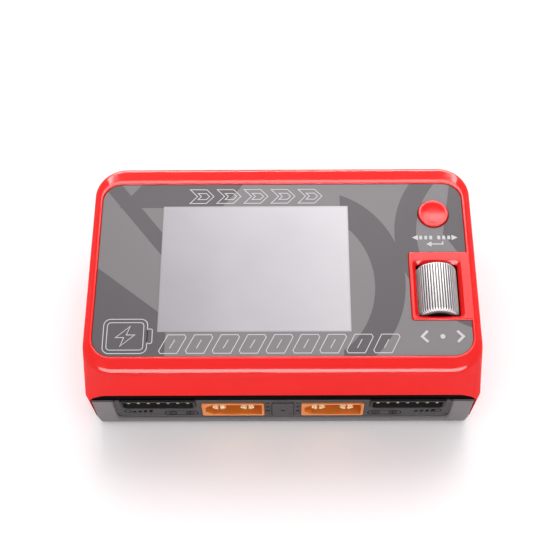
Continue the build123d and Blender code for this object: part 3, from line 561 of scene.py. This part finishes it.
def add_patch(bm, lay, points):
    """A thin closed patch of ink inside an outline."""
    base = [bm.verts.new(lay(u, v, 0)) for u, v in points]
    bm.faces.new(base)
    top = [bm.verts.new(lay(u, v, INK)) for u, v in points]
    bm.faces.new(top[::-1])
    for index in range(len(points)):
        bm.faces.new((base[index - 1], base[index], top[index], top[index - 1]))


def arc(centre, radius, start, end, steps):
    """Points along an arc, in degrees."""
    angles = [radians(start + (end - start) * index / steps) for index in range(steps + 1)]
    return [(centre[0] + radius * cos(a), centre[1] + radius * sin(a)) for a in angles]


def circle(centre, radius):
    """24 points round a circle."""
    return arc(centre, radius, 0, 345, 23)


def bar(left, low, width, height, lean=0.0):
    """Outline of a leaning bar."""
    right, top = left + width, low + height
    return [(left, low), (right, low), (right + lean, top), (left + lean, top)]


def cut_bar(left, low, width, height, lean, cut):
    """Outline of a leaning bar with two opposite corners cut off."""
    right, top = left + width, low + height
    slip = cut * lean / height
    return [(left + cut, low), (right, low), (right + lean - slip, top - cut),
            (right + lean - cut, top), (left + lean, top), (left + slip, low + cut)]


def chevron(left, low, width, height, reach):
    """Outline of an arrow-shaped bar that points to the right."""
    top, middle = low + height, low + height / 2
    return [(left, low), (left + width, low), (left + width + reach, middle),
            (left + width, top), (left, top), (left + reach, middle)]


def rounded(left, low, width, height, radius):
    """Outline of a rounded rectangle."""
    near, far = left + radius, left + width - radius
    down, up = low + radius, low + height - radius
    outline = []
    for index, centre in enumerate(((far, down), (far, up), (near, up), (near, down))):
        outline += arc(centre, radius, -90 + 90 * index, 90 * index, 5)
    return outline


def ink_object(name, lay, material, width, strips, patches=()):
    """Printed marks as one thin piece on the case: drawn lines and filled patches."""
    bm = bmesh.new()
    for points, closed in strips:
        add_strip(bm, lay, points, width, closed)
    for points in patches:
        add_patch(bm, lay, points)
    obj = mesh_object(name, bm, material)
    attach(obj, "case")


# ------------------------------------------------------------------- printed marks
def white_ink():
    """Screen-printed white, slightly uneven."""
    paint = Paint("white_ink", Specular_IOR_Level=0.4)
    paint.set(Base_Color=paint.blend(paint.noise(0.4, 3), (0.42, 0.41, 0.43), (0.52, 0.51, 0.53)))
    paint.uneven(paint.noise(0.6, 3), 0.42, 0.56)
    paint.bump(paint.noise(0.15, 2), 0.004, 0.5)
    return paint.material


def dark_ink():
    """Pad-printed near-black, slightly uneven."""
    paint = Paint("dark_ink", Specular_IOR_Level=0.02)
    body = paint.blend(paint.noise(0.4, 3), (0.004, 0.003, 0.004), (0.012, 0.010, 0.012))
    paint.set(Base_Color=body)
    paint.uneven(paint.noise(0.6, 3), 0.5, 0.64)
    paint.bump(paint.noise(0.15, 2), 0.004, 0.5)
    return paint.material


def print_upper_ornament(ink):
    """A row of outlined chevrons above the screen, each with a smaller one inside."""
    first, low, pitch = SCREEN.x - 16.8, screen_high.y + 0.9, 6.9
    strips = []
    for index in range(5):
        left = first + index * pitch
        strips.append((chevron(left, low, 4.2, 4.1, 1.9), True))
        strips.append((chevron(left + 2.05, low + 1.15, 2.1, 1.8, 0.83), True))
    ink_object("upper_ornament", on_plate, ink, FINE_LINE, strips)


def print_lower_ornament(ink):
    """A battery sign beside the screen and a gauge of leaning bars below it."""
    left, low = plate_low.x + 2.6, plate_low.y + 0.75
    wide, tall, wall, cap = 10.6, 9.0, 0.9, 1.2
    strips = [(rounded(left, low, wide, tall, 1.6), True)]
    inner = rounded(left + wall, low + wall, wide - 2 * wall, tall - 2 * wall, 0.9)
    strips.append((inner, True))
    strips.append((rounded(left + wide, low + 2.6, cap, tall - 5.2, 0.4), True))
    bolt = [(6.4, 7.1), (3.0, 4.15), (5.0, 4.15), (4.2, 1.9), (7.6, 4.85), (5.6, 4.85)]
    strips.append(([(left + x, low + y) for x, y in bolt], True))

    first, pitch = left + wide + 2.6, 6.4
    height, margin = screen_low.y - low - 0.75, 1.3
    for index in range(9):
        start = first + index * pitch
        strips.append((cut_bar(start, low, 4.7, height, 2.4, 0.7), True))
        slot = start + 2.9
        strips.append(([(slot, low + margin), (slot + 1.2, low + height - margin)], False))
    ink_object("lower_ornament", on_plate, ink, FINE_LINE, strips)


def print_button_signs(ink):
    """Arrows to and fro and a return arrow under the button."""
    x, y = BUTTON.x, BUTTON.y - 6.8
    head, spread, dash = 1.5, 0.75, 0.7
    patches = []
    for side in (-1, 1):
        tip = x + side * 5.7
        base = tip - side * head
        patches.append([(tip, y), (base, y + spread), (base, y - spread)][::side])
        for index in range(3):
            middle = x + side * (1.0 + index * 1.25)
            patches.append(bar(middle - dash / 2, y - 0.5, dash, 1.0))
    line = y - 1.85
    patches.append([(x - 2.2, line), (x - 0.9, line + spread), (x - 0.9, line - spread)])
    hook = [(x - 1.0, line), (x + 1.9, line), (x + 1.9, line + spread)]
    ink_object("button_signs", on_plate, ink, 0.3, [(hook, False)], patches)


def print_wheel_signs(ink):
    """Arrow heads and a dot under the wheel: turn either way, or press."""
    x, y = WHEEL.x + 0.25, WHEEL.y - 12.65
    reach, depth, spread = 4.95, 1.4, 1.45
    strips = []
    for side in (-1, 1):
        tip = x + side * reach
        back = tip - side * depth
        strips.append(([(back, y + spread), (tip, y), (back, y - spread)], False))
    ink_object("wheel_signs", on_plate, ink, 0.6, strips, [circle((x, y), 0.6)])


def print_panel_signs(ink):
    """Polarity pills, cell signs and tick marks on the connector panel."""
    pill_x, pill_z, pill_wide, pill_tall, sign = 26.0, 7.2, 8.4, 2.7, 2.2
    long, thick, stub = 1.1, 0.28, 0.4          # the minus, and the plus sign's upright
    cell_x, cell_z, ring_x, ring_z = 36.0, 7.55, 39.6, 8.45
    ticks = ((13.9, 0.45), (11.3, 0.6), (8.6, 0.85))
    tick_x, tick_wide = 3.8, 0.84
    strips = []
    patches = []
    for side in (-1, 1):
        centre = side * pill_x
        outline = rounded(centre - pill_wide / 2, pill_z - pill_tall / 2, pill_wide, pill_tall, 1.3)
        strips.append((outline, True))
        for x in (centre - sign, centre + sign):
            strips.append((circle((x, pill_z), 0.95), True))
            patches.append(bar(x - long / 2, pill_z - thick / 2, long, thick))
        left = centre + sign - thick / 2
        patches.append(bar(left, pill_z + 0.16, thick, stub))
        patches.append(bar(left, pill_z - 0.16 - stub, thick, stub))
        for index in range(4):
            left = side * cell_x - 2.5 + index * 1.4
            patches.append(bar(left, cell_z, 0.9, 1.1 + 0.25 * index, 0.2))
        strips.append((circle((side * ring_x, ring_z), 0.85), True))
        for z, tall in ticks:
            patches.append(bar(side * tick_x - tick_wide / 2, z - tall / 2, tick_wide, tall))
    ink_object("panel_signs", on_panel, ink, 0.26, strips, patches)


# -------------------------------------------------------------------------- wheel
def make_wheel():
    """Knurled sleeve with crowned ribs, steep grooves, bevelled ends and a bore."""
    # one rib and the groove beside it: share of the pitch, and depth below the crown
    rib = [(-0.27, 0.05), (-0.15, 0.01), (0.0, 0.0), (0.15, 0.01), (0.27, 0.05)]
    rib += [(phase, RIB_DEPTH) for phase in (0.33, 0.5, 0.67)]
    turn = [(tau * (index + phase) / RIBS, drop) for index in range(RIBS) for phase, drop in rib]

    # one end: place along the axis, radius, and how much of the ribbing shows there
    face, bevel = 4.25, 4.55
    end = [(WHEEL_HALF - 0.20, WHEEL_BORE, 0.0)]
    end += [(WHEEL_HALF, WHEEL_BORE + 0.23, 0.0), (WHEEL_HALF, face, 0.0)]
    end += [(WHEEL_HALF - 0.15, bevel, 0.5), (WHEEL_HALF - 0.55, WHEEL_RADIUS - 0.08, 1.0)]
    end += [(WHEEL_HALF - 0.85, WHEEL_RADIUS, 1.0)]
    profile = [(-y, level, share) for y, level, share in end] + end[::-1]

    bm = bmesh.new()
    rings = []
    for y, level, share in profile:
        ring = []
        for angle, drop in turn:
            reach = level - drop * share
            place = (WHEEL.x + reach * cos(angle), WHEEL.y + y, WHEEL.z + reach * sin(angle))
            ring.append(bm.verts.new(place))
        rings.append(ring)
    for first, second in zip(rings, rings[1:] + rings[:1]):
        for index in range(len(turn)):
            bm.faces.new((first[index - 1], first[index], second[index], second[index - 1]))
    wheel = mesh_object("knurled_wheel", bm, materials["wheel_metal"], smooth=50)
    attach(wheel, "thumb_wheel")
    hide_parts("wheel_sleeve")


# ------------------------------------------------------------------ floor and light
FLOOR_HALF = 2500.0
TENT_COLOUR = (1.0, 0.985, 0.98, 1.0)
TENT_STRENGTH = 0.97
PATCH_STRENGTH = 6.0                # in the middle of the tent's bright patch
PATCH_HEIGHT = 55                   # degrees above the horizon, behind the object
PATCH_TURN = 7                      # degrees to the right
PATCH_CORE, PATCH_RIM = 3, 23       # degrees from its middle
LIT_POINT = (0, 0, 15)
SOFTBOXES = (                       # name, place, width and height, watts
    ("front_softbox", (0, -629, 408), (1400, 440), 36.0),
    ("rear_softbox", (0, 602, 669), (1000, 400), 11.0),
    ("rear_low_softbox", (0, 890, 130), (1000, 240), 20.0),
)


def make_floor():
    """A plain pale floor."""
    bm = bmesh.new()
    corners = ((-1, -1), (1, -1), (1, 1), (-1, 1))
    bm.faces.new([bm.verts.new((x * FLOOR_HALF, y * FLOOR_HALF, 0)) for x, y in corners])
    paint = Paint("floor", Specular_IOR_Level=0.2)
    paint.set(Base_Color=paint.blend(paint.noise(300, 2), (0.90, 0.885, 0.90), (0.93, 0.915, 0.93)))
    paint.uneven(paint.noise(40, 2), 0.6, 0.7)
    mesh_object("floor", bm, paint.material)


def make_softbox(name, place, size, power):
    """A rectangular light aimed at the object, which shows only in its gloss."""
    data = bpy.data.lights.new(name, "AREA")
    data.shape = "RECTANGLE"
    data.size, data.size_y = (side * MM for side in size)
    data.energy = power
    light = bpy.data.objects.new(name, data)
    light.location = Vector(place) * MM
    light.visible_diffuse = False
    light.rotation_mode = "QUATERNION"
    light.rotation_quaternion = (Vector(LIT_POINT) - Vector(place)).to_track_quat("-Z", "Y")
    scene.collection.objects.link(light)


def make_tent():
    """A pale light tent, brighter in a wide soft patch high behind the object."""
    world = bpy.data.worlds.new("studio")
    scene.world = world
    world.use_nodes = True
    tree = world.node_tree
    background = tree.nodes["Background"]
    coordinates = tree.nodes.new("ShaderNodeTexCoord")
    aim = tree.nodes.new("ShaderNodeVectorMath")
    aim.operation = "DOT_PRODUCT"
    tree.links.new(coordinates.outputs["Generated"], aim.inputs[0])
    height, turn = radians(PATCH_HEIGHT), radians(PATCH_TURN)
    middle = (cos(height) * sin(turn), cos(height) * cos(turn), sin(height))
    aim.inputs[1].default_value = middle
    patch = tree.nodes.new("ShaderNodeMapRange")
    patch.interpolation_type = "SMOOTHERSTEP"
    tree.links.new(aim.outputs["Value"], patch.inputs["Value"])
    limits = {"From Min": cos(radians(PATCH_RIM)), "From Max": cos(radians(PATCH_CORE)),
              "To Min": TENT_STRENGTH, "To Max": PATCH_STRENGTH}
    for key, number in limits.items():
        patch.inputs[key].default_value = number
    tree.links.new(patch.outputs[0], background.inputs["Strength"])
    background.inputs["Color"].default_value = TENT_COLOUR


# -------------------------------------------------------------------------- scene
make_camera()
materials = make_materials()
dress_frame()

white = white_ink()
print_upper_ornament(white)
print_lower_ornament(white)
print_button_signs(white)
print_wheel_signs(white)
print_panel_signs(dark_ink())
make_wheel()

make_floor()
make_tent()
for softbox in SOFTBOXES:
    make_softbox(*softbox)
scene.view_settings.view_transform = "Standard"
